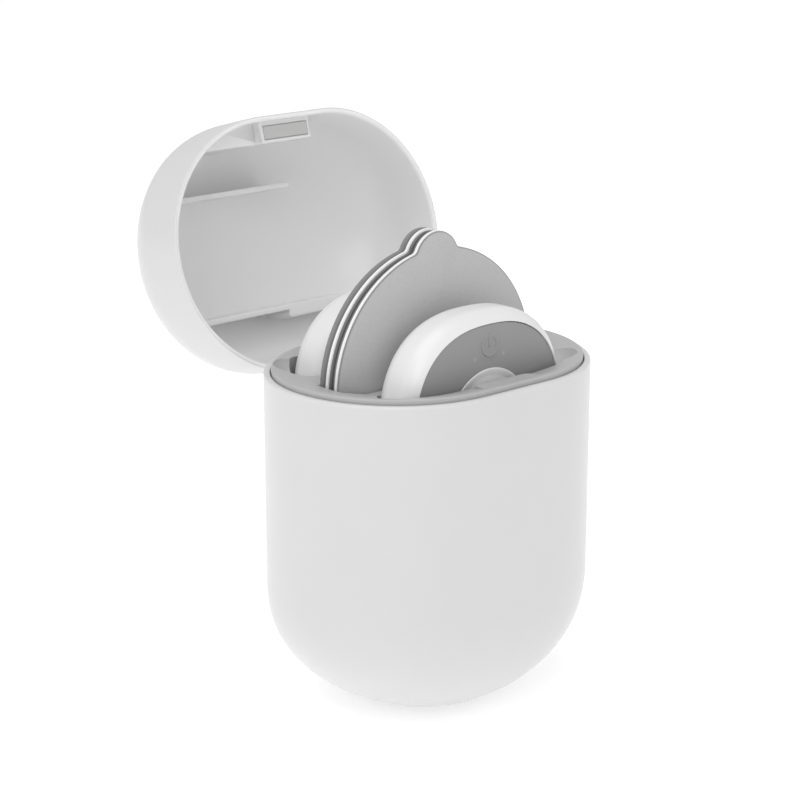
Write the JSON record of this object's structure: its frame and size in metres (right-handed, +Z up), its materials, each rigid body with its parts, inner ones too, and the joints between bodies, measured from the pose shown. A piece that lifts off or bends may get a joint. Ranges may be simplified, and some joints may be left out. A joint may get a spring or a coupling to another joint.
{
  "type": "pocket muscle stimulation massager",
  "caption": "Round control units and round gel pads standing in a rounded upright charging case with a hinged domed lid, shown open.",
  "frame": {"origin": "middle of the flat that the case stands on", "axes": "+X along the case to the viewer's right, +Y towards the hinge at the back, +Z up"},
  "size_m": [0.073, 0.0987, 0.1202],
  "materials": {
    "white_shell": "satin gloss moulded, fine polish",
    "grey_tray": "smooth matte moulded",
    "unit_white": "satin gloss moulded",
    "unit_face": "matte silicone",
    "key_grey": "matte silicone",
    "key_light": "matte silicone",
    "pad_fabric": "fine knit laminated to foam",
    "pad_film": "thin white film",
    "pad_gel": "conductive gel",
    "steel": "stamped or turned steel",
    "nickel": "nickel plated",
    "gold": "gold plated contact",
    "magnet": "nickel plated magnet",
    "board": "solder mask",
    "battery": "foil pouch",
    "switch": "moulded",
    "cradle": "moulded",
    "light": "translucent"
  },
  "bodies": {
    "case": {"case_shell": "white_shell", "inner_tray": "grey_tray", "latch_magnet": "magnet", "hinge_bracket": "steel", "hinge_pin": "steel", "hinge_screws": "steel", "battery_cradle": "cradle", "case_battery": "battery", "charging_board": "board", "charging_socket": "nickel", "board_screws": "steel", "front_charge_pins": "gold", "rear_charge_pins": "gold"},
    "lid": {"lid_shell": "white_shell", "latch_plate": "steel", "hinge_arm": "steel"},
    "front_unit": {"front_host_shell": "unit_white", "front_host_back_cover": "unit_white", "front_host_face": "unit_face", "front_host_board": "board", "front_host_switches": "switch", "front_host_battery": "battery", "front_host_snap_sockets": "nickel", "front_host_contacts": "gold", "front_host_lights": "light"},
    "front_power_key": {"front_power_key": "key_grey"},
    "front_middle_key": {"front_middle_key": "key_light"},
    "front_pad": {"front_pad_cover": "pad_fabric", "front_pad_film": "pad_film", "front_pad_gel": "pad_gel", "front_pad_studs": "nickel"},
    "rear_unit": {"rear_host_shell": "unit_white", "rear_host_back_cover": "unit_white", "rear_host_face": "unit_face", "rear_host_board": "board", "rear_host_switches": "switch", "rear_host_battery": "battery", "rear_host_snap_sockets": "nickel", "rear_host_contacts": "gold", "rear_host_lights": "light"},
    "rear_power_key": {"rear_power_key": "key_grey"},
    "rear_middle_key": {"rear_middle_key": "key_light"},
    "rear_pad": {"rear_pad_cover": "pad_fabric", "rear_pad_film": "pad_film", "rear_pad_gel": "pad_gel", "rear_pad_studs": "nickel"}
  },
  "joints": [
    {"name": "lid_hinge", "type": "hinge", "parent": "case", "child": "lid", "pos_m": [0, 0.0266, 0.069], "axis": [1, 0, 0], "range_deg": [0, 105]},
    {"name": "front_unit_lift", "type": "slide", "parent": "case", "child": "front_unit", "axis": [0, 0, -1], "range_m": [-0.036, 0]},
    {"name": "front_pad_lift", "type": "slide", "parent": "case", "child": "front_pad", "axis": [0, 0, -1], "range_m": [-0.032, 0]},
    {"name": "front_power_press", "type": "slide", "parent": "front_unit", "child": "front_power_key", "axis": [0, 1, 0], "range_m": [0, 0.0004], "stiffness_N_per_m": 2500},
    {"name": "front_middle_press", "type": "slide", "parent": "front_unit", "child": "front_middle_key", "axis": [0, 1, 0], "range_m": [0, 0.0004], "stiffness_N_per_m": 2500},
    {"name": "rear_unit_lift", "type": "slide", "parent": "case", "child": "rear_unit", "axis": [0, 0, -1], "range_m": [-0.036, 0]},
    {"name": "rear_pad_lift", "type": "slide", "parent": "case", "child": "rear_pad", "axis": [0, 0, -1], "range_m": [-0.032, 0]},
    {"name": "rear_power_press", "type": "slide", "parent": "rear_unit", "child": "rear_power_key", "axis": [0, -1, 0], "range_m": [0, 0.0004], "stiffness_N_per_m": 2500},
    {"name": "rear_middle_press", "type": "slide", "parent": "rear_unit", "child": "rear_middle_key", "axis": [0, -1, 0], "range_m": [0, 0.0004], "stiffness_N_per_m": 2500}
  ]
}
